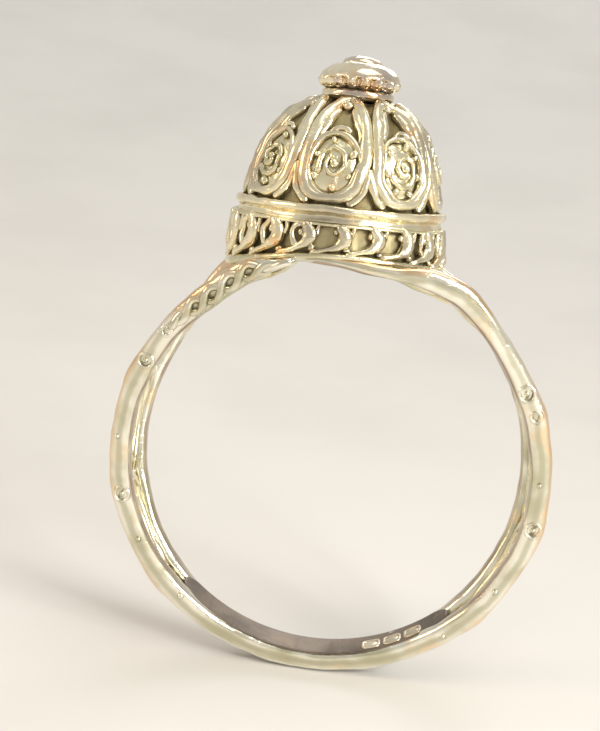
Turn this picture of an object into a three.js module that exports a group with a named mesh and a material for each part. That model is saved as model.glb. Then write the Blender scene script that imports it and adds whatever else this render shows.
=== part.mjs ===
// A silver finger ring with a domed head: a forked shank of two wire rails filled with oval wire
// loops, a scroll gallery, a waist band, eight teardrop frames with spiral rosettes, and a button
// finial riveted through the top of the dome.
// Millimetres, +Z up. The origin is the centre of the finger hole, the finger lies along Y, and
// -Y is the front.

import * as THREE from 'three';

// ---- Driving dimensions -------------------------------------------------------------------------

const HEAD_X = -0.8; // the head sits a little left of the middle of the hoop
const HOOP_R = 9.35; // radius of the middle of the shank wall
const FIT = 0.03; // gap between soldered pieces

// Rail stations: degrees from the top of the hoop, distance from the mid-plane, inner radius,
// radial thickness, width. The long arm of the fork runs under the drum to the fork's point.
const LONG_ARM = [
  [-7.8, 4.5, 9.62, 0.16, 0.34],
  [-2, 4.55, 9.45, 0.2, 0.4],
  [7, 4.5, 9.24, 0.4, 0.46],
  [15, 4.32, 9.22, 0.56, 0.56],
  [23, 4.06, 9.34, 0.9, 0.7],
  [33, 3.7, 9.38, 0.94, 0.82],
  [47, 3.18, 9.06, 0.88, 0.84],
];
const FLANK = [
  [62, 2.7, 8.88, 0.94, 0.84],
  [78, 2.22, 8.85, 0.95, 0.84],
  [90, 1.87, 8.85, 0.95, 0.84],
  [110, 1.37, 8.85, 0.95, 0.84],
  [130, 0.97, 8.85, 0.95, 0.84],
  [155, 0.6, 8.85, 0.95, 0.84],
  [180, 0.46, 8.85, 0.95, 0.84],
];
const SHORT_ARM = [
  [47, 3.18, 8.9, 0.95, 0.84],
  [33, 3.7, 8.93, 0.98, 0.82],
  [21.5, 4.06, 9.18, 1, 0.72],
  [17, 4.22, 9.32, 0.7, 0.62],
  [13, 4.38, 9.44, 0.4, 0.5],
];
const NODE_ANGLES = [12, 33, 67, 101, 130]; // where neighbouring oval loops meet
const NODE_SWELL = 0.08; // the rails swell outwards this much at each meeting
const LOOP_WIRE = 0.3;

const SADDLE_Z = 9.7; // underside of the head over the middle of the hoop
const SADDLE_DROP = 0.0276; // its fall per mm squared away from the middle
const BASE = { inner: 3.6, outer: 4.44, thick: 0.3 };
const DRUM_R = 4.6;
const RIM_WIRE = 0.18; // lower rim of the drum
const TOP_RIM = { z: 11.02, wire: 0.13 };
const DRUM_WALL = { inner: 4, outer: 4.34, top: 11.03 };
const STRUT = { count: 20, wide: 0.34, deep: 0.28, first: -16 };
const BAND = { z: 11.44, tall: 0.66, deep: 0.28, r: 4.52 };
const LEAN = 0.045; // above the drum the head leans right, in mm per mm of height

// The frames lie on this dome; full below 1 makes it fuller than an ellipse.
const DOME = { z: 11.82, r: 4.2, rise: 4.62, full: 0.8 };
const SHELL = { depth: 0.2, thick: 0.28, foot: 11.07 };
const PETAL = { count: 8, first: -6, wide: 0.34, deep: 0.34, low: 2.5, high: 67, gap: 0.2 };
const ROSETTE = { at: 21, r: 1, core: 0.18, tall: 1.15, turns: 1.9, wide: 0.22, deep: 0.24 };

const PIN_R = 0.38;
const COLLAR = { foot: 16.28, lip: 16.46, top: 16.66, r: 1.5, neck: 1.28 };
const KNOB = { foot: 16.69, lip: 16.92, brow: 17.46, top: 17.72, r: 1.73, neck: 1.34, flutes: 16 };
const CAP = { foot: 17.76, top: 18.2, r: 0.76 };

// ---- Ways of making a piece ---------------------------------------------------------------------

const rad = THREE.MathUtils.degToRad;
const ring = new THREE.Group();

function add(name, geometry, colour, roughness) {
  geometry.computeVertexNormals();
  const material = new THREE.MeshStandardMaterial({ color: colour, roughness, metalness: 1 });
  const mesh = new THREE.Mesh(geometry, material);
  mesh.name = name;
  ring.add(mesh);
}

const silver = (name, geometry) => add(name, geometry, 0xd6d2bc, 0.25);
const darkSilver = (name, geometry) => add(name, geometry, 0x6b6238, 0.5);

// A wire's section stands on its surface: the height lies along the normal, the width across it.
function placeSection(positions, index, spot, ahead, behind, turn, sides) {
  const along = ahead.clone().sub(behind).normalize();
  const across = new THREE.Vector3().crossVectors(spot.normal, along).normalize();
  const corner = 1 / Math.cos(Math.PI / sides);
  const height = (Math.cos(turn) * corner * spot.deep) / 2;
  const width = (Math.sin(turn) * corner * spot.wide) / 2;
  const at = spot.at.clone().addScaledVector(spot.normal, height).addScaledVector(across, width);
  positions.setXYZ(index, at.x, at.y, at.z);
}

// A closed wire. spotAt(s) gives the centre, normal, deep and wide at s, which runs from 0 to 1.
function closedWire(spotAt, steps, sides) {
  const geometry = new THREE.TorusGeometry(1, 0.5, sides, steps);
  const nudge = 1e-3;
  for (let j = 0; j <= sides; j++) {
    const turn = (2 * Math.PI * ((j % sides) + 0.5)) / sides;
    for (let i = 0; i <= steps; i++) {
      const s = (i % steps) / steps;
      const ahead = spotAt((s + nudge) % 1).at;
      const behind = spotAt((s + 1 - nudge) % 1).at;
      const index = j * (steps + 1) + i;
      placeSection(geometry.attributes.position, index, spotAt(s), ahead, behind, turn, sides);
    }
  }
  return geometry;
}

// An open wire with rounded ends, made the same way.
function openWire(spotAt, steps, sides) {
  const geometry = new THREE.SphereGeometry(1, sides, steps);
  const nudge = 1e-3;
  for (let j = 0; j <= steps; j++) {
    const s = j / steps;
    const spot = spotAt(s);
    const ahead = spotAt(Math.min(1, s + nudge)).at;
    const behind = spotAt(Math.max(0, s - nudge)).at;
    const isEnd = j === 0 || j === steps;
    const drawn = isEnd ? { ...spot, deep: 0, wide: 0 } : spot;
    for (let i = 0; i <= sides; i++) {
      const turn = (2 * Math.PI * ((i % sides) + 0.5)) / sides;
      const index = j * (sides + 1) + i;
      placeSection(geometry.attributes.position, index, drawn, ahead, behind, turn, sides);
    }
  }
  return geometry;
}

// A turned piece about the head's axis, from an outline of [radius, height] that runs
// anticlockwise; bend may then move each point.
function turned(outline, segments, bend) {
  const points = outline.map(([r, z]) => new THREE.Vector2(r, z));
  const geometry = new THREE.LatheGeometry(points, segments);
  geometry.rotateX(Math.PI / 2);
  geometry.translate(HEAD_X, 0, 0);
  if (!bend) return geometry;
  const positions = geometry.attributes.position;
  const at = new THREE.Vector3();
  for (let i = 0; i < positions.count; i++) {
    at.fromBufferAttribute(positions, i);
    bend(at);
    positions.setXYZ(i, at.x, at.y, at.z);
  }
  return geometry;
}

const washer = (inner, outer, foot, top) => [
  [inner, foot],
  [outer, foot],
  [outer, top],
  [inner, top],
  [inner, foot],
];

// ---- Shank --------------------------------------------------------------------------------------

const mirrored = (stations) => stations.map(([angle, ...sizes]) => [360 - angle, ...sizes]);
const STATIONS = [...LONG_ARM, ...FLANK, ...mirrored(FLANK.slice(0, -1)).reverse()];
STATIONS.push(...mirrored(SHORT_ARM));
STATIONS.push([360 + LONG_ARM[0][0], ...LONG_ARM[0].slice(1)]);

// Smooth value between the stations, by a cubic through them.
function stationAt(angle) {
  let k = 0;
  while (k < STATIONS.length - 2 && STATIONS[k + 1][0] <= angle) k++;
  const [before, from, to, after] = [k - 1, k, k + 1, k + 2].map(
    (n) => STATIONS[THREE.MathUtils.clamp(n, 0, STATIONS.length - 1)],
  );
  const span = to[0] - from[0];
  const t = (angle - from[0]) / span;
  return from.slice(1).map((value, n) => {
    const column = n + 1;
    const slopeIn = ((to[column] - before[column]) / (to[0] - before[0])) * span;
    const slopeOut = ((after[column] - from[column]) / (after[0] - from[0])) * span;
    const rise = to[column] - value;
    return value + t * (slopeIn + t * (3 * rise - 2 * slopeIn - slopeOut
      + t * (slopeIn + slopeOut - 2 * rise)));
  });
}

// The fork leans with the head, and the lean dies away down to the middle of the hoop.
function hoopTurn(angle, hand) {
  const short = angle > 180 ? angle - 360 : angle;
  const lean = (HEAD_X / HOOP_R) * Math.max(0, 1 - Math.abs(short) / 90);
  return hand * rad(short) + lean;
}

function swellAt(angle) {
  const fromTop = angle > 180 ? 360 - angle : angle;
  const nearest = Math.min(...NODE_ANGLES.slice(1).map((node) => Math.abs(fromTop - node)));
  return NODE_SWELL * Math.exp(-((nearest / 6) ** 2));
}

const onHoop = (turn, radius, y) =>
  new THREE.Vector3(radius * Math.sin(turn), y, radius * Math.cos(turn));

// hand is 1 for the front rail, whose long arm is on the right, and -1 for the back one.
function rail(hand) {
  const spotAt = (s) => {
    const angle = LONG_ARM[0][0] + 360 * s;
    const [fromMiddle, inner, deep, wide] = stationAt(angle);
    const turn = hoopTurn(angle, hand);
    const thick = deep + swellAt(angle);
    const at = onHoop(turn, inner + thick / 2, -hand * fromMiddle);
    return { at, normal: onHoop(turn, 1, 0), deep: thick, wide };
  };
  return closedWire(spotAt, 76, 8);
}

silver('front_rail', rail(1));
silver('back_rail', rail(-1));

// An oval wire that fills the shank between two meetings of the pattern.
function ovalLoop(side, from, to) {
  const middle = (from + to) / 2;
  const half = (to - from) / 2 - 0.5;
  const end = LOOP_WIRE / 2 + 0.02;
  const reach = half - THREE.MathUtils.radToDeg(end / HOOP_R);
  const spotAt = (s) => {
    const around = 2 * Math.PI * s;
    const angle = middle + reach * Math.cos(around);
    const [fromMiddle, , , wide] = stationAt(angle);
    const room = fromMiddle - wide / 2 - LOOP_WIRE / 2 - 0.12;
    const y = side * room * Math.sign(Math.sin(around)) * Math.abs(Math.sin(around)) ** 0.8;
    const turn = side * rad(angle) + (HEAD_X / HOOP_R) * Math.max(0, 1 - angle / 90);
    return { at: onHoop(turn, HOOP_R, y), normal: onHoop(turn, 1, 0), deep: 0.36, wide: LOOP_WIRE };
  };
  return closedWire(spotAt, 20, 6);
}

for (const [sideName, side] of [['left', -1], ['right', 1]]) {
  for (let n = 1; n < NODE_ANGLES.length; n++) {
    const loop = ovalLoop(side, NODE_ANGLES[n - 1], NODE_ANGLES[n]);
    silver(`${sideName}_loop_${n}`, loop);
  }
}

// ---- Drum ---------------------------------------------------------------------------------------

const saddle = (x) => SADDLE_Z - SADDLE_DROP * x * x;

function onHead(azimuth, radius, z) {
  return new THREE.Vector3(HEAD_X + radius * Math.sin(azimuth), -radius * Math.cos(azimuth), z);
}

const outwards = (azimuth) => new THREE.Vector3(Math.sin(azimuth), -Math.cos(azimuth), 0);

const basePlate = washer(BASE.inner, BASE.outer, 0, BASE.thick);
silver('base_ring', turned(basePlate, 40, (at) => {
  at.z += saddle(at.x);
}));

function rimWire(heightAt, radius, wire, steps) {
  const spotAt = (s) => {
    const azimuth = 2 * Math.PI * s;
    const at = onHead(azimuth, radius, 0);
    at.z = heightAt(at.x);
    return { at, normal: outwards(azimuth), deep: wire, wide: wire };
  };
  return closedWire(spotAt, steps, 6);
}

silver('lower_rim', rimWire((x) => saddle(x) + RIM_WIRE / 2 + FIT, DRUM_R + 0.02, RIM_WIRE, 40));
silver('upper_rim', rimWire(() => TOP_RIM.z, DRUM_R - 0.02, TOP_RIM.wire, 40));

const wallFoot = BASE.thick + FIT;
const wall = washer(DRUM_WALL.inner, DRUM_WALL.outer, 0, DRUM_WALL.top);
darkSilver('drum_wall', turned(wall, 40, (at) => {
  if (at.z < DRUM_WALL.top / 2) at.z = saddle(at.x) + wallFoot;
}));

// A comma-shaped scroll: it hooks out of the top rim, bulges, and sweeps back to the lower rim.
function strut(centre) {
  const spotAt = (s) => {
    const bulge = 5.2 * Math.sin(Math.PI * s ** 0.8) - 7 * s ** 3 - 4 * (1 - s) ** 4;
    const azimuth = rad(centre + bulge);
    const foot = onHead(azimuth, DRUM_R, 0);
    const low = saddle(foot.x) + RIM_WIRE + 2 * FIT + 0.02;
    const high = TOP_RIM.z - TOP_RIM.wire / 2 - FIT - 0.02;
    const body = Math.sqrt(Math.max(0.12, 4 * s * (1 - s)));
    const at = foot.setZ(high + (low - high) * s);
    return { at, normal: outwards(azimuth), deep: STRUT.deep * body, wide: STRUT.wide * body };
  };
  return openWire(spotAt, 9, 5);
}

for (let n = 0; n < STRUT.count; n++) {
  const centre = STRUT.first + (360 * n) / STRUT.count;
  silver(`drum_scroll_${String(n + 1).padStart(2, '0')}`, strut(centre));
}

silver('waist_band', closedWire((s) => {
  const azimuth = 2 * Math.PI * s;
  const at = onHead(azimuth, BAND.r, BAND.z);
  return { at, normal: outwards(azimuth), deep: BAND.deep, wide: BAND.tall };
}, 44, 8));

// ---- Dome ---------------------------------------------------------------------------------------

// Everything above the drum leans a little to the right.
function leaning(geometry) {
  const positions = geometry.attributes.position;
  for (let i = 0; i < positions.count; i++) {
    const rise = Math.max(0, positions.getZ(i) - TOP_RIM.z);
    positions.setX(i, positions.getX(i) + LEAN * rise);
  }
  geometry.computeVertexNormals();
  return geometry;
}

// A point of the dome: azimuth and climb in radians, and a distance out from the surface.
function onDome(azimuth, climb, out = 0) {
  const r = DOME.r * Math.cos(climb) ** DOME.full;
  const z = DOME.z + DOME.rise * Math.sin(climb);
  const slope = new THREE.Vector2(Math.cos(climb) / DOME.r, Math.sin(climb) / DOME.rise).normalize();
  const normal = outwards(azimuth).multiplyScalar(slope.x).setZ(slope.y);
  return { at: onHead(azimuth, r, z).addScaledVector(normal, out), normal };
}

function domeArc(depth, from, to, steps) {
  const points = [];
  for (let n = 0; n <= steps; n++) {
    const climb = rad(from + ((to - from) * n) / steps);
    const radius = (DOME.r - depth) * Math.cos(climb) ** DOME.full;
    points.push([radius, DOME.z + (DOME.rise - depth) * Math.sin(climb)]);
  }
  return points;
}

const inside = SHELL.depth + SHELL.thick;
const shellOutline = [
  [DOME.r - inside, SHELL.foot],
  [DOME.r - SHELL.depth, SHELL.foot],
  ...domeArc(SHELL.depth, 0, 86.5, 8),
  ...domeArc(inside, 86.1, 0, 7),
  [DOME.r - inside, SHELL.foot],
];
darkSilver('dome_shell', leaning(turned(shellOutline, 36)));

// A teardrop frame. The sides keep an even gap to the neighbours, the foot and the tip are round.
function petal(centre) {
  const middle = (PETAL.low + PETAL.high) / 2;
  const half = (PETAL.high - PETAL.low) / 2;
  const bow = (value) => Math.sign(value) * Math.abs(value) ** 0.68;
  const spotAt = (s) => {
    const around = 2 * Math.PI * s;
    const climb = rad(middle - half * bow(Math.cos(around)));
    const reach = Math.PI / PETAL.count - PETAL.gap / (DOME.r * Math.cos(climb));
    const azimuth = rad(centre) + reach * bow(Math.sin(around));
    return { ...onDome(azimuth, climb), deep: PETAL.deep, wide: PETAL.wide };
  };
  return closedWire(spotAt, 28, 4);
}

// A spiral of wire coiled on the dome inside its frame.
function rosette(centre) {
  const climb = rad(ROSETTE.at);
  const across = DOME.r * Math.cos(climb);
  const up = Math.hypot(DOME.r * Math.sin(climb), DOME.rise * Math.cos(climb));
  const spotAt = (s) => {
    const radius = ROSETTE.r + (ROSETTE.core - ROSETTE.r) * s;
    const around = 2 * Math.PI * ROSETTE.turns * s;
    const azimuth = rad(centre) + (radius * Math.sin(around)) / across;
    const spot = onDome(azimuth, climb + (ROSETTE.tall * radius * Math.cos(around)) / up, -0.06);
    return { ...spot, deep: ROSETTE.deep, wide: ROSETTE.wide };
  };
  return openWire(spotAt, 26, 4);
}

for (let n = 0; n < PETAL.count; n++) {
  const centre = PETAL.first + (360 * n) / PETAL.count;
  silver(`petal_frame_${n + 1}`, leaning(petal(centre)));
  silver(`rosette_${n + 1}`, leaning(rosette(centre)));
}

// ---- Finial -------------------------------------------------------------------------------------

const boreR = PIN_R + FIT;

silver('collar', leaning(turned([
  [boreR, COLLAR.foot],
  [COLLAR.neck, COLLAR.foot],
  [COLLAR.r, COLLAR.lip],
  [COLLAR.neck, COLLAR.top],
  [boreR, COLLAR.top],
  [boreR, COLLAR.foot],
], 32)));

silver('finial_knob', leaning(turned([
  [boreR, KNOB.foot],
  [KNOB.neck, KNOB.foot],
  [KNOB.r - 0.1, KNOB.lip],
  [KNOB.r, (KNOB.lip + KNOB.brow) / 2],
  [KNOB.r - 0.14, KNOB.brow],
  [CAP.r, KNOB.top],
  [boreR, KNOB.top],
  [boreR, KNOB.foot],
], 2 * KNOB.flutes, (at) => {
  const radius = Math.hypot(at.x - HEAD_X, at.y);
  if (radius < KNOB.neck || at.z > KNOB.brow) return;
  const azimuth = Math.atan2(at.x - HEAD_X, -at.y);
  const flute = 1 + 0.03 * Math.cos(KNOB.flutes * azimuth);
  at.x = HEAD_X + (at.x - HEAD_X) * flute;
  at.y *= flute;
})));

silver('finial_cap', leaning(turned([
  [0, CAP.foot],
  [CAP.r - 0.08, CAP.foot],
  [CAP.r, CAP.foot + 0.1],
  [CAP.r * 0.72, CAP.top - 0.1],
  [0, CAP.top],
], 20)));

// The pin's head lies inside the dome, under the crown of the shell.
const crown = DOME.z + DOME.rise - inside;
const pinTop = CAP.foot - FIT;
const pinHead = { r: 0.6, thick: 0.15, top: crown - FIT - 0.02 };
silver('finial_pin', leaning(turned([
  [0, pinHead.top - pinHead.thick],
  [pinHead.r, pinHead.top - pinHead.thick],
  [pinHead.r, pinHead.top],
  [PIN_R, pinHead.top],
  [PIN_R, pinTop],
  [0, pinTop],
], 20)));

export default ring;
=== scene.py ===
import math
import random

import bmesh
import bpy
from mathutils import Matrix, Vector, noise
from mathutils.bvhtree import BVHTree


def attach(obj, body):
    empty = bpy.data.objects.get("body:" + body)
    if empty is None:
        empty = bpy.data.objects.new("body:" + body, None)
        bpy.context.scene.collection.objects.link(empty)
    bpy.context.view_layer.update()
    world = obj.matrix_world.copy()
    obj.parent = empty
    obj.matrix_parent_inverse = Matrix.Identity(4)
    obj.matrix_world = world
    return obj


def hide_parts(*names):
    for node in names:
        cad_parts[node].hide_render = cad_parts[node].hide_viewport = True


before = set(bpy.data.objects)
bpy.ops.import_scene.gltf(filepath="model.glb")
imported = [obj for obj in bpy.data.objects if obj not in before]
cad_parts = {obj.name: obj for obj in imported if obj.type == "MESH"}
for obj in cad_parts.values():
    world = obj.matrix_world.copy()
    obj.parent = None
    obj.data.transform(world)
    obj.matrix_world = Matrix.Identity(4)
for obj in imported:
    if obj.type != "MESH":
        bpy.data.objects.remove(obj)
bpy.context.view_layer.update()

# A silver finger ring: a forked shank of two rails with wire openwork between them, a gallery of
# scrolls, a girdle, a dome of eight teardrops with medallions, and a fluted button on top.
# Pieces are modelled in millimetres and scaled to metres when they are finished.

MM = 0.001
UP = Vector((0, 0, 1))

# ---- Sizes, in millimetres, the same as the solids' ---------------------------------------------

HEAD_X = -0.8
HOOP_R = 9.35

# Rail stations: degrees from the top of the hoop, distance from the mid-plane, inner radius,
# thickness and width.
LONG_ARM = [
    (-7.8, 4.5, 9.62, 0.16, 0.34),
    (-2, 4.55, 9.45, 0.2, 0.4),
    (7, 4.5, 9.24, 0.4, 0.46),
    (15, 4.32, 9.22, 0.56, 0.56),
    (23, 4.06, 9.34, 0.9, 0.7),
    (33, 3.7, 9.38, 0.94, 0.82),
    (47, 3.18, 9.06, 0.88, 0.84),
]
FLANK = [
    (62, 2.7, 8.88, 0.94, 0.84),
    (78, 2.22, 8.85, 0.95, 0.84),
    (90, 1.87, 8.85, 0.95, 0.84),
    (110, 1.37, 8.85, 0.95, 0.84),
    (130, 0.97, 8.85, 0.95, 0.84),
    (155, 0.6, 8.85, 0.95, 0.84),
    (180, 0.46, 8.85, 0.95, 0.84),
]
SHORT_ARM = [
    (47, 3.18, 8.9, 0.95, 0.84),
    (33, 3.7, 8.93, 0.98, 0.82),
    (21.5, 4.06, 9.18, 1.0, 0.72),
    (17, 4.22, 9.32, 0.7, 0.62),
    (13, 4.38, 9.44, 0.4, 0.5),
]

NODES = [12, 33, 67, 101, 130]
SADDLE_Z = 9.7
SADDLE_DROP = 0.0276
DRUM_R = 4.6
TOP_RIM_Z = 11.02
GALLERY_FOOT = 0.26
GALLERY_TALL = 1.36
LEAN = 0.045
DOME_Z = 11.82
DOME_R = 4.2
DOME_RISE = 4.62
DOME_FULL = 0.8
DOME_MEAN = 4.4
SCROLLS = 20
PETALS = 8
FIRST_SCROLL = -16
FIRST_PETAL = -6


# ---- Camera -------------------------------------------------------------------------------------

CAMERA_ANGLES = (3.5, 9.8, 6)
CAMERA_AWAY = 57
CAMERA_RIGHT = -1.376
CAMERA_UP = 4.45
CAMERA_LENS = 61.2


def place_camera():
    """The camera stands in front, a little to the right and above, and is tilted a few degrees."""
    azimuth, height, tilt = (math.radians(angle) for angle in CAMERA_ANGLES)
    back = Vector((
        math.sin(azimuth) * math.cos(height),
        -math.cos(azimuth) * math.cos(height),
        math.sin(height),
    ))
    level = Vector((math.cos(azimuth), math.sin(azimuth), 0))
    upright = back.cross(level)
    right = level * math.cos(tilt) + upright * math.sin(tilt)
    top = upright * math.cos(tilt) - level * math.sin(tilt)
    at = CAMERA_AWAY * back + CAMERA_RIGHT * right + CAMERA_UP * top
    camera = bpy.data.cameras.new("camera")
    camera.lens = CAMERA_LENS
    camera.sensor_width = 36
    camera.clip_start = 0.001
    camera.clip_end = 5
    holder = bpy.data.objects.new("camera", camera)
    turn = Matrix((right, top, back)).transposed().to_4x4()
    holder.matrix_world = Matrix.Translation(at * MM) @ turn
    bpy.context.collection.objects.link(holder)
    bpy.context.scene.camera = holder


place_camera()


# ---- Surfaces that flat work is bent onto -------------------------------------------------------

def stations():
    """Rail stations once round the hoop, from the fork's point."""
    def mirrored(rows):
        return [(360 - row[0], *row[1:]) for row in rows]
    rows = LONG_ARM + FLANK + mirrored(FLANK[:-1])[::-1] + mirrored(SHORT_ARM)
    return rows + [(360 + LONG_ARM[0][0], *LONG_ARM[0][1:])]


STATIONS = stations()


def rail_at(angle):
    """Distance from the mid-plane, inner radius, thickness and width of a rail."""
    k = 0
    while k < len(STATIONS) - 2 and STATIONS[k + 1][0] <= angle:
        k += 1
    last = len(STATIONS) - 1
    before, start, end, after = (STATIONS[max(0, min(last, n))] for n in range(k - 1, k + 3))
    span = end[0] - start[0]
    t = (angle - start[0]) / span
    values = []
    for n in range(1, 5):
        slope_in = (end[n] - before[n]) / (end[0] - before[0]) * span
        slope_out = (after[n] - start[n]) / (after[0] - start[0]) * span
        rise = end[n] - start[n]
        cubic = slope_in + slope_out - 2 * rise
        square = 3 * rise - 2 * slope_in - slope_out
        values.append(start[n] + t * (slope_in + t * (square + t * cubic)))
    return values


def hoop_turn(angle, hand):
    short = angle - 360 if angle > 180 else angle
    lean = HEAD_X / HOOP_R * max(0, 1 - abs(short) / 90)
    return hand * math.radians(short) + lean


def along_hoop(angle):
    """How far round the flat hoop an angle lies."""
    return math.radians(angle) * HOOP_R


def onto_hoop(hand):
    """Flat x runs round the hoop from its top, y along the finger and z outwards."""
    def place(at):
        turn = hoop_turn(math.degrees(at.x / HOOP_R), hand)
        radius = HOOP_R + at.z
        return Vector((radius * math.sin(turn), at.y, radius * math.cos(turn)))
    return place


def saddle(x):
    return SADDLE_Z - SADDLE_DROP * x * x


def on_head(azimuth, radius, z):
    """A place on the head, which leans a little to the right above the drum."""
    x = HEAD_X + LEAN * max(0, z - TOP_RIM_Z) + radius * math.sin(azimuth)
    return Vector((x, -radius * math.cos(azimuth), z))


def onto_drum(centre):
    """Flat x runs round the drum, y up it from the saddle, and z outwards."""
    def place(at):
        azimuth = math.radians(centre) + at.x / DRUM_R
        foot = saddle(on_head(azimuth, DRUM_R, 0).x)
        stretch = (TOP_RIM_Z - foot - GALLERY_FOOT) / GALLERY_TALL
        flare = 0.1 * (1 - at.y / GALLERY_TALL)
        return on_head(azimuth, DRUM_R + flare + at.z, foot + GALLERY_FOOT + at.y * stretch)
    return place


def onto_dome(centre):
    """Flat x runs round the dome from the centre's azimuth, y up it and z outwards."""
    def place(at):
        climb = at.y / DOME_MEAN
        azimuth = math.radians(centre) + at.x / (DOME_R * math.cos(climb))
        slope = Vector((math.cos(climb) / DOME_R, math.sin(climb) / DOME_RISE)).normalized()
        radius = DOME_R * math.cos(climb) ** DOME_FULL + slope.x * at.z
        return on_head(azimuth, radius, DOME_Z + DOME_RISE * math.sin(climb) + slope.y * at.z)
    return place


# ---- Ways of making metal -----------------------------------------------------------------------

def smooth(points, steps):
    """A curve through flat points, as closely spaced points."""
    knots = [Vector((*point, 0)) for point in points]
    last = len(knots) - 1
    path = []
    for k in range(last):
        a, b, c, d = (knots[max(0, min(last, k + n))] for n in (-1, 0, 1, 2))
        for n in range(steps):
            t = n / steps
            square = (2 * a - 5 * b + 4 * c - d) * t * t
            cubic = (3 * b - a - 3 * c + d) * t ** 3
            path.append(0.5 * (2 * b + (c - a) * t + square + cubic))
    return path + [knots[-1]]


def value_at(size, s):
    return size(s) if callable(size) else size


def bowed(value, power):
    """Raise a value to a power and keep its sign."""
    return math.copysign(abs(value) ** power, value)


def wire(path, wide, deep, closed=False, lap=Vector(), sides=10, corner=1.0):
    """Draw a wire along a flat path. A corner below 1 makes the section squarer, and lap is how
    far a closed path runs on before it meets itself."""
    made = bmesh.new()
    count = len(path)

    def spot(n):
        if closed:
            laps, index = divmod(n, count)
            return path[index] + laps * lap
        return path[max(0, min(count - 1, n))]

    length = sum((path[n + 1] - path[n]).length for n in range(count - 1))
    frames = []
    run = 0
    for n in range(count):
        s = n / count if closed else n / (count - 1)
        along = (spot(n + 1) - spot(n - 1)).normalized()
        across = UP.cross(along).normalized()
        width = value_at(wide, s) / 2
        height = value_at(deep, s) / 2
        if n:
            run += (path[n] - path[n - 1]).length
        if not closed:
            near = min(1, min(run, length - run) / width)
            tip = math.sqrt(max(0.06, 1 - (1 - near) ** 2))
            width *= tip
            height *= tip
        turn = Matrix((across * width, UP * height, along)).transposed().to_4x4()
        frames.append(Matrix.Translation(path[n]) @ turn)
    ends = bmesh.ops.create_circle(made, cap_ends=True, segments=sides, radius=1)["verts"]
    for vert in ends:
        for axis in (0, 1):
            vert.co[axis] = bowed(vert.co[axis], corner)
    bmesh.ops.transform(made, matrix=frames[0], verts=ends)
    cap = made.faces[:]
    first = made.edges[:]
    if closed:
        bmesh.ops.delete(made, geom=cap, context="FACES_ONLY")
    rim = first
    for before, after in zip(frames, frames[1:]):
        grown = bmesh.ops.extrude_edge_only(made, edges=rim)["geom"]
        verts = [part for part in grown if isinstance(part, bmesh.types.BMVert)]
        fresh = set(verts)
        rim = [part for part in grown
               if isinstance(part, bmesh.types.BMEdge) and fresh.issuperset(part.verts)]
        bmesh.ops.transform(made, matrix=after @ before.inverted(), verts=verts)
    if closed:
        bmesh.ops.bridge_loops(made, edges=rim + first)
    else:
        bmesh.ops.holes_fill(made, edges=rim, sides=0)
    return made


def granule(at, radius, flat=1.0):
    """A small ball of silver, sunk to its middle."""
    made = bmesh.new()
    ball = bmesh.ops.create_icosphere(made, subdivisions=2, radius=radius)["verts"]
    bmesh.ops.scale(made, vec=(1, 1, flat), verts=ball)
    bmesh.ops.translate(made, vec=Vector((*at, 0)[:3]), verts=ball)
    return made


def turned(outline, steps):
    """Spin an outline of radius and height about the head's axis."""
    made = bmesh.new()
    verts = [made.verts.new((HEAD_X + r, 0, z)) for r, z in outline]
    edges = [made.edges.new(pair) for pair in zip(verts, verts[1:])]
    if outline[0][0] and outline[-1][0]:
        edges.append(made.edges.new((verts[-1], verts[0])))
    bmesh.ops.spin(
        made, geom=verts + edges, cent=(HEAD_X, 0, 0), axis=UP, angle=math.tau, steps=steps,
        use_merge=True,
    )
    for vert in made.verts:
        vert.co.x += LEAN * max(0, vert.co.z - TOP_RIM_Z)
    return made


def bent(place, *parts):
    """Bend flat parts onto a surface and put them together."""
    whole = bmesh.new()
    for part in parts:
        for vert in part.verts:
            vert.co = place(vert.co)
        mesh = bpy.data.meshes.new("part")
        part.to_mesh(mesh)
        part.free()
        whole.from_mesh(mesh)
        bpy.data.meshes.remove(mesh)
    return whole


def hand_worked(made, wander, dents, size, seed):
    """Make the work a little uneven: wander moves it sideways, dents in and out."""
    shift = Vector((seed * 3.7, seed * 1.3, seed * 2.9))
    made.normal_update()
    for vert in made.verts:
        at = vert.co / size + shift
        dent = noise.noise(at * 2.3) * dents
        vert.co += noise.noise_vector(at) * wander + vert.normal * dent


NOISE_SEED = 4
noise.seed_set(NOISE_SEED)
pieces = []


def finish_piece(name, made, finish, slot, *nodes):
    """Turn the work into a piece that stands for its solids."""
    bmesh.ops.remove_doubles(made, verts=made.verts, dist=0.0005)
    bmesh.ops.recalc_face_normals(made, faces=made.faces)
    bmesh.ops.scale(made, vec=(MM, MM, MM), verts=made.verts)
    for face in made.faces:
        face.smooth = True
    mesh = bpy.data.meshes.new(name)
    made.to_mesh(mesh)
    made.free()
    piece = bpy.data.objects.new(name, mesh)
    bpy.context.collection.objects.link(piece)
    mesh.materials.append(finish)
    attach(piece, "root")
    if nodes:
        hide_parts(*nodes)
    pieces.append(piece)
    return piece


# ---- Finishes -----------------------------------------------------------------------------------

class Value:
    """A socket of a finish, for sums."""

    def __init__(self, finish, socket):
        self.finish = finish
        self.socket = socket

    def sum(self, operation, first, second):
        inputs = {0: first, 1: second}
        return self.finish.node("ShaderNodeMath", {"operation": operation}, inputs)

    def __add__(self, other):
        return self.sum("ADD", self, other)

    def __sub__(self, other):
        return self.sum("SUBTRACT", self, other)

    def __rsub__(self, other):
        return self.sum("SUBTRACT", other, self)

    def __mul__(self, other):
        return self.sum("MULTIPLY", self, other)

    __radd__ = __add__
    __rmul__ = __mul__


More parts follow.
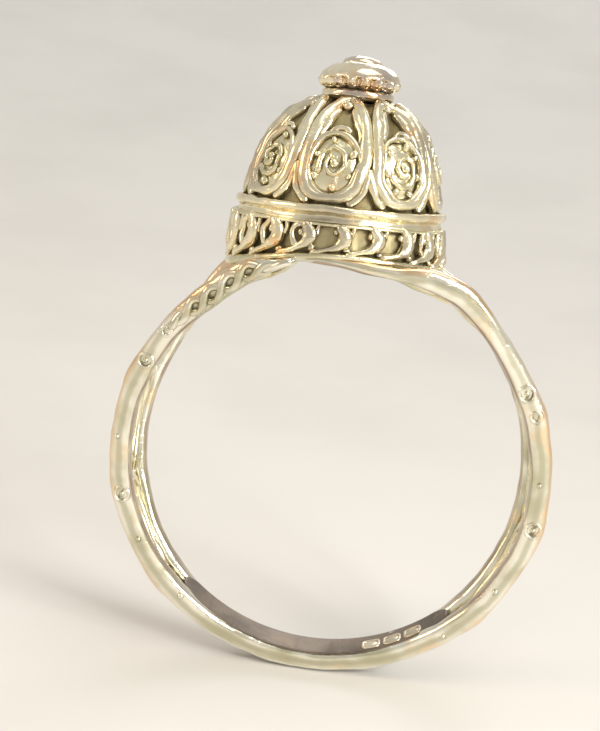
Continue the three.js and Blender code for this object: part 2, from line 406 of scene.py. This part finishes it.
class Finish:
    """A material and its nodes."""

    def __init__(self, name):
        self.material = bpy.data.materials.new(name)
        self.material.use_nodes = True
        self.tree = self.material.node_tree
        self.tree.nodes.clear()

    def node(self, kind, settings=None, inputs=None, output=0):
        made = self.tree.nodes.new(kind)
        for key, setting in (settings or {}).items():
            setattr(made, key, setting)
        for key, value in (inputs or {}).items():
            if isinstance(value, Value):
                self.tree.links.new(value.socket, made.inputs[key])
            else:
                made.inputs[key].default_value = value
        return Value(self, made.outputs[output])

    def rise(self, value, low, high):
        """0 below low, 1 above high, and smooth between."""
        inputs = {"Value": value, "From Min": low, "From Max": high}
        return self.node("ShaderNodeMapRange", {"interpolation_type": "SMOOTHSTEP"}, inputs)

    def blend(self, share, first, second):
        """One colour over another."""
        return self.node("ShaderNodeMix", {"data_type": "RGBA"}, {0: share, 6: first, 7: second}, 2)

    def clouds(self, scale, detail, stretch=(1, 1, 1), shift=(0, 0, 0)):
        """Noise on the object's own coordinates; scale counts features in a metre."""
        where = self.node("ShaderNodeTexCoord", output="Object")
        placed = {"Vector": where, "Scale": stretch, "Location": shift}
        moved = self.node("ShaderNodeMapping", {"vector_type": "POINT"}, placed)
        inputs = {"Vector": moved, "Scale": scale, "Detail": detail, "Roughness": 0.55}
        return self.node("ShaderNodeTexNoise", inputs=inputs)

    def surface(self, inputs):
        shader = self.node("ShaderNodeBsdfPrincipled", inputs=inputs)
        self.node_out(shader)
        return self.material

    def node_out(self, shader):
        out = self.tree.nodes.new("ShaderNodeOutputMaterial")
        self.tree.links.new(shader.socket, out.inputs["Surface"])


def painted_reflection_bands(finish, body, wander):
    """Painted reflections in long bands along the rails: a warm painted reflection on the outer
    edge, a grey painted reflection in the middle and painted shade on the inner edge; towards the
    foot both edges turn to white painted highlights.
    """
    side = finish.node("ShaderNodeAttribute", {"attribute_name": "side"}, output="Fac") + wander
    foot = finish.node("ShaderNodeAttribute", {"attribute_name": "foot"}, output="Fac")
    outer = finish.rise(side, 0.5, 1.0)
    middle = finish.rise(side, -0.4, -0.05) - finish.rise(side, 0.15, 0.5)
    inner = 1 - finish.rise(side, -1.0, -0.72)
    # Painted reflection: an olive grey band down the middle of the rail.
    body = finish.blend(middle * 0.65, body, (0.5, 0.475, 0.34, 1))
    # Painted reflection on the outer edge, warm orange, turning to a white painted highlight at the
    # foot.
    edge = finish.blend(foot, (0.88, 0.6, 0.36, 1), (1, 0.99, 0.95, 1))
    # Painted shade on the inner edge, turning to a pale painted highlight at the foot.
    inner_edge_light = finish.blend(foot, (0.38, 0.27, 0.2, 1), (1, 0.97, 0.88, 1))
    body = finish.blend(outer * (0.7 + foot * 0.25), body, edge)
    return finish.blend(inner * 0.75, body, inner_edge_light)


def silver(name, bright, shade, warm, tarnish_and_shade_colour, polish, depth, start=0.3, full=0.75, shift=0.0,
           bands=False):
    """Worn silver: toned in clouds, scratched, dented, and dark where it is hollow, which is
    tarnish and painted shade together.
    """
    finish = Finish(name)
    away = (shift, shift * 0.7, shift * 1.3)
    hollow = finish.node("ShaderNodeAttribute", {"attribute_name": "hollow"}, output="Fac")
    broad = finish.clouds(330, 3, shift=away)
    toning = finish.clouds(620, 4, shift=(shift + 0.4, 0.1, 0.2))
    grain = finish.clouds(4200, 3, shift=away)
    dents = finish.clouds(1500, 2, shift=away)
    scratches = finish.clouds(2600, 3, stretch=(1, 0.12, 3.2))
    crossed = finish.clouds(2300, 3, stretch=(3.0, 1, 0.15), shift=(0.3, 0.2, 0.1))
    body = finish.blend(finish.rise(broad, 0.4, 0.62), bright, shade)
    body = finish.blend(finish.rise(toning, 0.55, 0.72) * 0.7, body, warm)
    # The rails also get painted reflection, shade and highlight in bands across them.
    if bands:
        body = painted_reflection_bands(finish, body, (broad - 0.5) * 1.1 + (toning - 0.5) * 0.5)
    # Where other metal shuts a vertex in, tarnish and painted shade darken it.
    tarnish_and_shade = finish.rise(hollow + (grain - 0.5) * 0.3 + (toning - 0.5) * 0.35, start, full)
    colour = finish.blend(tarnish_and_shade * depth, body, tarnish_and_shade_colour)
    lines = finish.rise(scratches, 0.56, 0.66) + finish.rise(crossed, 0.58, 0.68)
    rough = tarnish_and_shade * 0.4 + lines * 0.08 + (grain - 0.5) * 0.14 + polish
    height = dents * 0.6 + grain * 0.25 + tarnish_and_shade * 0.3 - lines * 0.2
    bump = finish.node("ShaderNodeBump", inputs={
        "Strength": 0.55, "Distance": 0.00002, "Height": height,
    })
    return finish.surface({
        "Base Color": colour,
        "Metallic": 1 - tarnish_and_shade * 0.55,
        "Roughness": rough,
        "Normal": bump,
    })


rail_silver = silver(
    "rail_silver", (0.95, 0.92, 0.8, 1), (0.62, 0.59, 0.42, 1), (0.92, 0.7, 0.44, 1),
    (0.2, 0.16, 0.08, 1), 0.15, 0.85, start=0.38, full=0.95, bands=True,
)
wire_silver = silver(
    "wire_silver", (0.93, 0.86, 0.62, 1), (0.68, 0.63, 0.42, 1), (0.92, 0.64, 0.34, 1),
    (0.21, 0.17, 0.075, 1), 0.2, 0.88, start=0.4, full=0.85, shift=0.31,
)
chased_silver = silver(
    "chased_silver", (0.92, 0.84, 0.6, 1), (0.6, 0.54, 0.41, 1), (0.96, 0.58, 0.27, 1),
    (0.21, 0.165, 0.07, 1), 0.2, 0.9, start=0.38, full=0.8, shift=0.57,
)
button_silver = silver(
    "button_silver", (0.92, 0.84, 0.62, 1), (0.6, 0.52, 0.44, 1), (0.95, 0.62, 0.31, 1),
    (0.18, 0.14, 0.06, 1), 0.15, 0.85, start=0.4, full=0.9, shift=0.83,
)
# The linings' dark colour is painted shade: the inside of the drum and dome, seen through the
# openwork.
shaded_lining_silver = silver(
    "shaded_lining_silver", (0.46, 0.4, 0.23, 1), (0.23, 0.19, 0.09, 1), (0.5, 0.34, 0.16, 1),
    (0.22, 0.175, 0.08, 1), 0.5, 0.75, start=0.42, full=1.05, shift=0.13,
)
marks_silver = silver(
    "marks_silver", (0.88, 0.8, 0.62, 1), (0.66, 0.58, 0.44, 1), (0.84, 0.7, 0.52, 1),
    (0.2, 0.16, 0.09, 1), 0.32, 0.7, start=0.45, full=0.95, shift=0.23,
)
# Painted shade: a dark silver for the inner face of the foot.
painted_shade_silver = silver(
    "painted_shade_silver", (0.27, 0.22, 0.17, 1), (0.17, 0.14, 0.11, 1), (0.32, 0.24, 0.16, 1),
    (0.1, 0.08, 0.06, 1), 0.45, 0.6, start=0.5, full=1.0, shift=0.71,
)


# ---- Shank --------------------------------------------------------------------------------------

NODE_SWELL = 0.1
NODE_SPREAD = 6
FORK_POINT = -2
FORK_SWELL = 0.14
FORK_SPREAD = 9
RING_ANGLES = (61, 99, 257, 299)
SMALL_RING_ANGLES = (67.5, 310)
STUD_ANGLES = (86, 120, 140, 222, 243, 274)
PLAIT_ANGLES = (311, 351)
PLAIT_PERIOD = 12
FOOT_ANGLE = 125
FOOT_FADE = 25


def swell(angle):
    """The rails swell outwards a little where the openwork's ovals meet."""
    short = 360 - angle if angle > 180 else angle
    nearest = min(abs(short - node) for node in NODES[1:])
    return NODE_SWELL * math.exp(-((nearest / NODE_SPREAD) ** 2))


def rail_spot(hand, angle, side=0, out=0):
    """A flat spot on a rail: side runs from -1 inside to 1 outside, out lifts it off the face."""
    middle, inner, thick, wide = rail_at(angle)
    height = (inner - HOOP_R) + thick / 2 * (1 + side)
    return Vector((along_hoop(angle), -hand * (middle + wide / 2 + out), height))


def rail_body(hand):
    path = []
    sizes = []
    steps = 320
    for n in range(steps):
        angle = LONG_ARM[0][0] + 360 * n / steps
        middle, inner, thick, wide = rail_at(angle)
        thick += swell(angle)
        from_point = (angle - FORK_POINT + 180) % 360 - 180
        thick += FORK_SWELL * math.exp(-(from_point / FORK_SPREAD) ** 2)
        path.append(Vector((along_hoop(angle), -hand * middle, inner + thick / 2 - HOOP_R)))
        sizes.append((wide, thick))
    lap = Vector((math.tau * HOOP_R, 0, 0))

    def pick(column):
        return lambda s: sizes[round(s * steps) % steps][column]

    return wire(path, pick(0), pick(1), True, lap, sides=28, corner=0.76)


def on_face(path, wide, deep, closed=False):
    """A wire that lies on the outward face of a rail."""
    upright = Matrix.Rotation(math.radians(90), 3, "X")
    flat = [upright.inverted() @ at for at in path]
    made = wire(flat, wide, deep, closed, sides=8)
    bmesh.ops.rotate(made, verts=made.verts, cent=(0, 0, 0), matrix=upright)
    return made


def face_ring(hand, angle, side, reach, thick):
    """A small ring of wire on the outward face of a rail."""
    centre = rail_spot(hand, angle, side)
    path = []
    for n in range(22):
        around = math.tau * n / 22
        path.append(centre + Vector((reach * math.cos(around), 0, reach * math.sin(around))))
    return on_face(path, thick, thick * 1.1, True)


def face_stud(hand, angle, side, radius):
    return granule(rail_spot(hand, angle, side), radius)


def face_braid(hand, angles, thick, lift):
    """Two wires plaited along the outward face of a shoulder."""
    first, last = angles
    steps = round(abs(last - first) * 1.6)
    made = []
    for strand in (0, 0.5):
        path = []
        for k in range(steps + 1):
            angle = first + (last - first) * k / steps
            fade = min(1, 4 * min(k, steps - k) / steps)
            turn = math.tau * (angle / PLAIT_PERIOD + strand)
            side = 0.6 * fade * math.sin(turn)
            over = lift + 0.1 * math.cos(turn)
            path.append(rail_spot(hand, angle % 360, side, over))
        made.append(on_face(path, thick, thick * 1.05))
    return made


def chasing(hand, seed):
    """Ringed bosses at the meetings of the openwork, studs, and a plait along one shoulder."""
    drawn = random.Random(seed)
    parts = []
    for angle in RING_ANGLES:
        parts.append(face_ring(hand, angle, 0.05, 0.33, 0.17))
        parts.append(face_stud(hand, angle, 0.05, 0.13))
    for angle in SMALL_RING_ANGLES:
        parts.append(face_ring(hand, angle, 0.1, 0.22, 0.16))
    for angle in STUD_ANGLES:
        parts.append(face_stud(hand, angle, drawn.uniform(-0.3, 0.3), drawn.uniform(0.12, 0.17)))
    return parts + face_braid(hand, PLAIT_ANGLES, 0.36, 0.04)


def mark_sides(piece):
    """Store how far across its rail every vertex lies, from -1 inside to 1 outside, and how far
    into the foot of the hoop it is."""
    sides = []
    feet = []
    for vert in piece.data.vertices:
        at = vert.co / MM
        angle = math.degrees(math.atan2(at.x, at.z))
        _, inner, thick, _ = rail_at((angle - STATIONS[0][0]) % 360 + STATIONS[0][0])
        sides.append(2 * (math.hypot(at.x, at.z) - inner) / thick - 1)
        feet.append(max(0, min(1, (abs(angle) - FOOT_ANGLE) / FOOT_FADE)))
    for label, values in (("side", sides), ("foot", feet)):
        layer = piece.data.attributes.new(label, "FLOAT", "POINT")
        layer.data.foreach_set("value", values)


def rail(name, node, hand, seed):
    parts = [rail_body(hand)] + chasing(hand, seed)
    made = bent(onto_hoop(hand), *parts)
    hand_worked(made, 0.04, 0.035, 1.6, seed)
    # The sides and foot steer the rails' painted reflection bands.
    mark_sides(finish_piece(name, made, rail_silver, "silver", node))


rail("rail_front", "front_rail", 1, 3)
rail("rail_back", "back_rail", -1, 8)


def openwork(side, n):
    """Ovals of wire one inside another, a slit leaf in the middle, and wires that cross where the
    cell meets the next one."""
    start, end = NODES[n - 1], NODES[n]
    middle = (start + end) / 2
    half = (end - start) / 2 - 0.4

    def room(angle, gap):
        away, _, _, wide = rail_at(angle)
        return max(0.08, away - wide / 2 - gap)

    def oval(reach, share, power, steps, lift=0.0):
        path = []
        for k in range(steps):
            around = math.tau * k / steps
            angle = middle + half * reach * math.cos(around)
            y = share * room(angle, 0.14) * bowed(math.sin(around), power)
            path.append(Vector((along_hoop(angle), y, lift)))
        return path

    def across(from_angle, to_angle, hand, sag):
        steps = 18
        path = []
        for k in range(steps + 1):
            t = k / steps
            angle = from_angle + (to_angle - from_angle) * t
            edge = room(angle, 0.02) * hand * (1 - 2 * t)
            path.append(Vector((along_hoop(angle), edge, sag * math.sin(math.pi * t))))
        return path

    parts = [wire(oval(1, 1, 0.7, 72), 0.34, 0.44, True)]
    rings = {1: (0.78, 0.56, 0.33), 2: (0.7, 0.4), 3: (0.52,), 4: (0.36,)}[n]
    for share in rings:
        slit = share == rings[-1]
        wide = 0.36 if slit else 0.24
        reach = 1 - 0.75 * (1 - share) ** 1.3
        lift = -0.05 if slit else 0.04
        parts.append(wire(oval(reach, share, 1.15 if slit else 0.85, 60, lift), wide, 0.34, True))
    spread = 5.5 + 3.5 * (start < 60)
    if n > 1:
        parts.append(wire(across(start - spread, start + spread, 1, 0.1), 0.3, 0.34))
        parts.append(wire(across(start - spread, start + spread, -1, -0.1), 0.3, 0.34))
        parts.append(granule(Vector((along_hoop(start), 0, 0)), 0.27, 0.9))
    if n == len(NODES) - 1:
        for angle in (end + 2.4, end + 6.4):
            centre = Vector((along_hoop(angle), 0, 0))
            ring = [centre + Vector((0.25 * math.cos(a), 0.2 * math.sin(a), 0))
                    for a in (math.tau * k / 20 for k in range(20))]
            parts.append(wire(ring, 0.17, 0.4, True, sides=8))
    made = bent(onto_hoop(side), *parts)
    hand_worked(made, 0.05, 0.02, 0.9, 10 + n + side)
    return made


for side_name, side in (("left", -1), ("right", 1)):
    for n in range(1, len(NODES)):
        finish_piece(
            f"openwork_{side_name}_{n}", openwork(side, n), wire_silver, "silver",
            f"{side_name}_loop_{n}",
        )


LINING_INNER_R = 8.89
LINING_ANGLES = range(136, 225)
MARK_INNER_R = 8.82
MARK_ANGLES = (161.2, 154.6, 148.0)
MARK_Y = -0.26
MARK_HALF_LONG = 0.4
MARK_HALF_WIDE = 0.38
MARK_CORNER = 0.45


def foot_lining():
    """The inner face of the foot, where the two rails run together, dark with painted shade."""
    path = [Vector((along_hoop(angle), 0, LINING_INNER_R - HOOP_R)) for angle in LINING_ANGLES]
    return bent(onto_hoop(1), wire(path, 1.78, 0.13, sides=24, corner=0.4))


def blank_marks():
    """Three blank rounded pads stamped side by side inside the foot of the shank."""
    parts = []
    for angle in MARK_ANGLES:
        centre = Vector((along_hoop(angle), MARK_Y, MARK_INNER_R - HOOP_R))
        path = []
        for k in range(36):
            around = math.tau * k / 36
            x = bowed(math.cos(around), MARK_CORNER) * MARK_HALF_LONG
            y = bowed(math.sin(around), MARK_CORNER) * MARK_HALF_WIDE
            path.append(centre + Vector((x, y, 0)))
        pad = granule(centre, 0.36, 0.16)
        parts += [wire(path, 0.15, 0.12, True, sides=8), pad]
    return bent(onto_hoop(1), *parts)


finish_piece("foot_lining", foot_lining(), painted_shade_silver, "silver")
finish_piece("blank_marks", blank_marks(), marks_silver, "silver")


# ---- Drum ---------------------------------------------------------------------------------------

def round_drum(radius, height, wide, deep, corner=1.0, sides=12):
    """A wire or band all the way round the drum."""
    path = [Vector((math.tau * DRUM_R * n / 200, height, radius - DRUM_R)) for n in range(200)]
    lap = Vector((math.tau * DRUM_R, 0, 0))
    return wire(path, wide, deep, True, lap, sides, corner)


seat = bent(onto_drum(180), round_drum(4.02, -GALLERY_FOOT + 0.13, 0.24, 0.82, 0.6, sides=16))
hand_worked(seat, 0.02, 0.02, 1.1, 21)
finish_piece("drum_seat", seat, wire_silver, "silver", "base_ring")

low_rim = bent(onto_drum(180), round_drum(4.56, -0.22, 0.34, 0.34))
hand_worked(low_rim, 0.03, 0.03, 0.8, 22)
finish_piece("drum_rim_low", low_rim, wire_silver, "silver", "lower_rim")

high_rim = bent(onto_drum(180), round_drum(4.58, GALLERY_TALL + 0.02, 0.17, 0.26))
hand_worked(high_rim, 0.02, 0.02, 0.8, 23)
finish_piece("drum_rim_high", high_rim, wire_silver, "silver", "upper_rim")

# A lining behind the gallery; its dark colour is painted shade inside the drum.
lining = bent(onto_drum(180), round_drum(4.24, 0.66, 1.5, 0.2, 0.5, sides=24))
hand_worked(lining, 0.02, 0.09, 0.4, 24)
finish_piece("drum_lining", lining, shaded_lining_silver, "dark_silver", "drum_wall")


OPEN_SCROLLS = (2, 3, 4, 9, 10, 13, 14)


def gallery_scroll(n):
    """A comma: a short fork at the top, a thick belly to the right and a long tail to the left,
    and a bud; on the commas that are not open, a thinner wire beside it closes it to a leaf round
    the bud."""
    drawn = random.Random(40 + n)

    def wavered(points):
        return smooth([(x + drawn.uniform(-0.04, 0.04), y + drawn.uniform(-0.03, 0.03))
                       for x, y in points], 5)

    comma = wavered([
        (-0.02, 1.42), (0.2, 1.24), (0.34, 0.96), (0.33, 0.66), (0.16, 0.4), (-0.16, 0.2),
        (-0.6, 0.04), (-1.02, -0.08),
    ])
    leaf = wavered([(0.02, 1.36), (-0.24, 1.18), (-0.38, 0.88), (-0.34, 0.56), (-0.16, 0.26)])
    fork = wavered([(0.4, 1.44), (0.3, 1.28), (0.26, 1.1)])

    stem = wavered([(0.74, 1.4), (0.7, 1.06), (0.62, 0.74)])
    for at in stem:
        at.z = -0.08

    def belly(s):
        return 0.28 + 0.34 * math.sin(math.pi * min(1, s * 1.35))

    bud = granule((-0.02, drawn.uniform(0.7, 0.84), -0.08), 0.16)
    bmesh.ops.scale(bud, vec=(0.8, 1.25, 1), verts=bud.verts)
    parts = [
        wire(comma, belly, lambda s: 0.34 + 0.14 * math.sin(math.pi * s), sides=10),
        wire(fork, 0.28, 0.34, sides=8),
        wire(stem, 0.22, 0.26, sides=8),
        granule((0.46, drawn.uniform(0.08, 0.2), -0.06), 0.15),
        bud,
    ]
    if n not in OPEN_SCROLLS:
        parts.append(wire(leaf, 0.27, 0.32, sides=8))
    made = bent(onto_drum(FIRST_SCROLL + 360 * (n - 1) / SCROLLS), *parts)
    hand_worked(made, 0.06, 0.035, 0.6, n)
    return made


for n in range(1, SCROLLS + 1):
    finish_piece(
        f"gallery_scroll_{n:02d}", gallery_scroll(n), chased_silver, "silver",
        f"drum_scroll_{n:02d}",
    )


def girdle():
    """The band round the waist: a bold roll above a groove."""
    outline = smooth([
        (4.34, 11.1), (4.52, 11.09), (4.56, 11.16), (4.5, 11.26), (4.48, 11.36), (4.58, 11.46),
        (4.66, 11.56), (4.66, 11.68), (4.58, 11.78), (4.36, 11.8),
    ], 4)
    made = turned([(at.x, at.y) for at in outline], 160)
    hand_worked(made, 0.045, 0.04, 1.1, 31)
    return made


finish_piece("waist_girdle", girdle(), chased_silver, "silver", "waist_band")


# ---- Dome ---------------------------------------------------------------------------------------

def dome_lining():
    """The shell under the teardrops, open below, in a dark colour that is painted shade seen
    through the gaps.
    """
    outline = [(DOME_R - 0.5, 11.07), (DOME_R - 0.2, 11.07)]
    for depth, rows in ((0.2, range(0, 15)), (0.5, range(14, -1, -1))):
        for row in rows:
            climb = math.radians(86 * row / 14)
            outline.append(((DOME_R - depth) * math.cos(climb) ** DOME_FULL,
                            DOME_Z + (DOME_RISE - depth) * math.sin(climb)))
    made = turned(outline, 128)
    hand_worked(made, 0.0, 0.1, 0.4, 33)
    return made


finish_piece("dome_lining", dome_lining(), shaded_lining_silver, "dark_silver", "dome_shell")

PETAL_LOW = 0.24
PETAL_HIGH = 5.35
TEARDROP_BOW = 0.7
MEDALLION_Y = 1.66


def half_gore(y, gap):
    """Half the width between two teardrops' seams at a height up the dome."""
    return math.pi / PETALS * DOME_R * math.cos(y / DOME_MEAN) - gap


def teardrop_path(gap, depth):
    """The outline of one teardrop, which fills its gore apart from a gap."""
    middle = (PETAL_LOW + PETAL_HIGH) / 2
    half = (PETAL_HIGH - PETAL_LOW) / 2

    path = []
    for k in range(96):
        around = math.tau * k / 96
        y = middle - half * bowed(math.cos(around), TEARDROP_BOW)
        x = half_gore(y, gap) * bowed(math.sin(around), TEARDROP_BOW)
        path.append(Vector((x, y, depth)))
    return path


def teardrop(n):
    """The bold frame of one gore, wires inside it that leave a small window at the top, and the
    forked foot that fills the corner between two gores."""
    drawn = random.Random(60 + n)

    def bold(s):
        low = math.exp(-((min(s, 1 - s) - 0.17) / 0.1) ** 2)
        return 0.42 + 0.14 * low

    ring = []
    for k in range(64):
        around = math.tau * k / 64
        lobes = 1 + 0.07 * math.cos(3 * around + 0.6) * (math.sin(around) > 0)
        ring.append(Vector((
            1.06 * lobes * math.cos(around), MEDALLION_Y + 1.32 * lobes * math.sin(around), -0.04,
        )))
    parts = [
        wire(teardrop_path(0.24, -0.04), bold, 0.48, True, sides=12, corner=0.9),
        wire(ring, 0.25, 0.36, True, sides=10),
        granule((0, 4.82, 0.0), 0.2),
    ]
    for hand in (-1, 1):
        reed = smooth([(hand * 1.04, 2.05), (hand * 0.86, 2.95), (hand * 0.56, 3.75),
                       (hand * 0.24, 4.6)], 8)
        for at in reed:
            at.z = -0.08
        parts.append(wire(reed, lambda s: 0.26 + 0.14 * math.sin(math.pi * s), 0.34, sides=8))
    for hand in (-1, 1):
        foot = smooth([(0, 1.56), (0.06, 1.1), (0.2, 0.68), (0.46, 0.3), (0.84, 0.02)], 6)
        for at in foot:
            at.x = half_gore(at.y, 0) + hand * at.x
            at.z = -0.02
        parts.append(wire(foot, lambda s: 0.3 + 0.08 * s, 0.4, sides=10))
    curl = smooth([(drawn.uniform(-0.1, 0.1) - 0.42, 3.02), (-0.1, 3.3), (0.22, 3.24),
                   (0.42, 2.98)], 6)
    parts.append(wire(curl, 0.24, 0.32, sides=8))
    made = bent(onto_dome(FIRST_PETAL + 360 * (n - 1) / PETALS), *parts)
    hand_worked(made, 0.08, 0.04, 0.9, 70 + n)
    return made


def medallion(n):
    """A raised ground with a spiral and a ring of studs, no two quite alike."""
    drawn = random.Random(90 + n)
    hand = drawn.choice((-1, 1))
    start = drawn.random()
    ground = bmesh.new()
    dish = bmesh.ops.create_uvsphere(ground, u_segments=32, v_segments=16, radius=1)["verts"]
    bmesh.ops.scale(ground, vec=(1.0, 1.26, 0.12), verts=dish)
    bmesh.ops.translate(ground, vec=(0, MEDALLION_Y, -0.16), verts=dish)
    spiral = []
    for k in range(61):
        s = k / 60
        around = math.tau * (start + hand * 1.35 * s)
        reach = 0.66 - 0.5 * s
        spiral.append(Vector((
            reach * math.cos(around),
            MEDALLION_Y + 1.25 * reach * math.sin(around),
            -0.04 + 0.1 * s,
        )))
    parts = [
        ground,
        wire(spiral, lambda s: 0.26 - 0.06 * s, 0.3, sides=8),
        granule((0.05, MEDALLION_Y, 0.06), 0.17),
    ]
    studs = drawn.choice((6, 7))
    for k in range(studs):
        around = math.tau * (start + (k + drawn.uniform(-0.2, 0.2)) / studs)
        at = (0.8 * math.cos(around), MEDALLION_Y + 1.02 * math.sin(around), -0.03)
        parts.append(granule(at, drawn.uniform(0.12, 0.18)))
    made = bent(onto_dome(FIRST_PETAL + 360 * (n - 1) / PETALS), *parts)
    hand_worked(made, 0.09, 0.04, 0.5, 80 + n)
    return made


for n in range(1, PETALS + 1):
    finish_piece(f"teardrop_{n}", teardrop(n), chased_silver, "silver", f"petal_frame_{n}")
    finish_piece(f"medallion_{n}", medallion(n), wire_silver, "silver", f"rosette_{n}")


# ---- Finial -------------------------------------------------------------------------------------

def finial_collar():
    outline = smooth([
        (0.42, 16.28), (1.3, 16.26), (1.54, 16.34), (1.58, 16.48), (1.5, 16.64), (1.1, 16.7),
        (0.42, 16.68),
    ], 4)
    made = turned([(at.x, at.y) for at in outline], 96)
    hand_worked(made, 0.03, 0.03, 0.7, 101)
    return made


finish_piece("finial_collar", finial_collar(), button_silver, "silver", "collar")

FLUTES = 16
FLUTES_TOP = 17.18
FINIAL_X = HEAD_X + LEAN * (17 - TOP_RIM_Z)


def finial_button():
    """A button with a smooth rounded top and flutes round its lower half."""
    outline = smooth([
        (0.42, 16.7), (1.2, 16.68), (1.46, 16.72), (1.66, 16.82), (1.76, 16.98), (1.76, 17.14),
        (1.7, 17.32), (1.56, 17.5), (1.34, 17.67), (1.04, 17.81), (0.74, 17.87), (0.42, 17.87),
    ], 4)
    made = turned([(at.x, at.y) for at in outline], 192)
    for vert in made.verts:
        across = Vector((vert.co.x - FINIAL_X, vert.co.y, 0))
        if across.length < 1.2 or vert.co.z > FLUTES_TOP:
            continue
        azimuth = math.atan2(across.x, -across.y)
        fade = min(1, (across.length - 1.2) / 0.2) * min(1, (FLUTES_TOP - vert.co.z) / 0.1)
        lobe = abs(math.sin(FLUTES / 2 * azimuth)) ** 1.1
        vert.co += across.normalized() * fade * 0.3 * (lobe - 0.8)
    hand_worked(made, 0.03, 0.02, 0.9, 102)
    return made


finish_piece("finial_button", finial_button(), button_silver, "silver", "finial_knob")


def finial_tip():
    outline = smooth([
        (0, 17.78), (0.62, 17.78), (0.84, 17.83), (0.86, 17.9), (0.74, 18.02), (0.5, 18.12),
        (0.24, 18.18), (0, 18.19),
    ], 4)
    made = turned([(max(0, at.x), at.y) for at in outline], 64)
    hand_worked(made, 0.02, 0.015, 0.5, 103)
    return made


finish_piece("finial_tip", finial_tip(), button_silver, "silver", "finial_cap")

pin = bpy.data.objects["finial_pin"]
pin.data.materials.clear()
pin.data.materials.append(button_silver)


# ---- Hollows ------------------------------------------------------------------------------------

RAYS = 14
REACH = 0.9 * MM


def spread_rays():
    """Even directions over a half sphere about +Z, weighted to its middle."""
    rays = []
    golden = math.pi * (3 - math.sqrt(5))
    for k in range(RAYS):
        share = (k + 0.5) / RAYS
        flat = math.sqrt(share) * 0.97
        rays.append(Vector((flat * math.cos(golden * k), flat * math.sin(golden * k),
                            math.sqrt(1 - flat * flat))))
    return rays


def mark_hollows():
    """Store on every vertex how much of its surroundings is shut in by other metal."""
    verts = []
    faces = []
    for piece in pieces:
        first = len(verts)
        verts.extend(vert.co for vert in piece.data.vertices)
        faces.extend([first + k for k in face.vertices] for face in piece.data.polygons)
    tree = BVHTree.FromPolygons(verts, faces)
    rays = spread_rays()
    for piece in pieces:
        mesh = piece.data
        shares = []
        for vert in mesh.vertices:
            normal = vert.normal
            turn = UP.rotation_difference(normal)
            start = vert.co + normal * 0.01 * MM
            shut = 0.0
            for ray in rays:
                hit = tree.ray_cast(start, turn @ ray, REACH)
                if hit[0] is not None:
                    shut += 1 - 0.5 * hit[3] / REACH
            shares.append(shut / RAYS)
        layer = mesh.attributes.new("hollow", "FLOAT", "POINT")
        layer.data.foreach_set("value", shares)


# The hollow share darkens the finishes with tarnish and painted shade.
mark_hollows()


# ---- Studio -------------------------------------------------------------------------------------

def paper():
    finish = Finish("pale_paper")
    tone = finish.clouds(40, 3)
    colour = finish.blend(finish.rise(tone, 0.35, 0.7), (0.74, 0.72, 0.68, 1), (0.7, 0.68, 0.64, 1))
    return finish.surface({"Base Color": colour, "Roughness": 0.7})


FLOOR_Z = -9.86 * MM
FLOOR_STEP = 0.02
FLOOR_CURVE = 1.15


def sweep_floor():
    """A round pale floor that curves up gently all round."""
    made = bmesh.new()
    radii = [FLOOR_STEP * n for n in range(24)]
    verts = [made.verts.new((r, 0, FLOOR_Z + FLOOR_CURVE * r * r)) for r in radii]
    edges = [made.edges.new(pair) for pair in zip(verts, verts[1:])]
    bmesh.ops.spin(made, geom=verts + edges, cent=(0, 0, 0), axis=UP, angle=math.tau, steps=96,
                   use_merge=True)
    bmesh.ops.remove_doubles(made, verts=made.verts, dist=1e-6)
    bmesh.ops.recalc_face_normals(made, faces=made.faces)
    for face in made.faces:
        face.smooth = True
    mesh = bpy.data.meshes.new("floor")
    made.to_mesh(mesh)
    made.free()
    floor = bpy.data.objects.new("floor", mesh)
    bpy.context.collection.objects.link(floor)
    mesh.materials.append(paper())


sweep_floor()


def lamp(name, at, aim, width, height, watts, colour, spread=180):
    """A soft rectangular lamp; places in millimetres."""
    light = bpy.data.lights.new(name, "AREA")
    light.shape = "RECTANGLE"
    light.size = width * MM
    light.size_y = height * MM
    light.energy = watts
    light.color = colour
    light.spread = math.radians(spread)
    holder = bpy.data.objects.new(name, light)
    start = Vector(at)
    holder.rotation_mode = "QUATERNION"
    holder.rotation_quaternion = (Vector(aim) - start).to_track_quat("-Z", "Y")
    holder.location = start * MM
    bpy.context.collection.objects.link(holder)


HEAD = (0, 0, 6)
lamp("overhead", (120, -60, 460), HEAD, 300, 300, 0.5, (1, 0.97, 0.92))
lamp("right_strip", (112, -84, 66), HEAD, 36, 70, 0.042, (1, 0.99, 0.96), 110)
lamp("left_warm", (-130, -50, 76), HEAD, 60, 66, 0.018, (1, 0.7, 0.44), 110)
lamp("front_pool", (72, -98, 62), (14, -24, -9), 24, 24, 0.005, (1, 1, 0.98), 50)
lamp("rear", (90, 490, 340), HEAD, 360, 180, 0.3, (0.95, 0.95, 1), 120)


def set_world():
    world = bpy.data.worlds.new("studio")
    world.use_nodes = True
    back = world.node_tree.nodes["Background"]
    back.inputs["Color"].default_value = (0.72, 0.705, 0.67, 1)
    back.inputs["Strength"].default_value = 0.88
    bpy.context.scene.world = world
    bpy.context.scene.view_settings.view_transform = "Standard"


set_world()
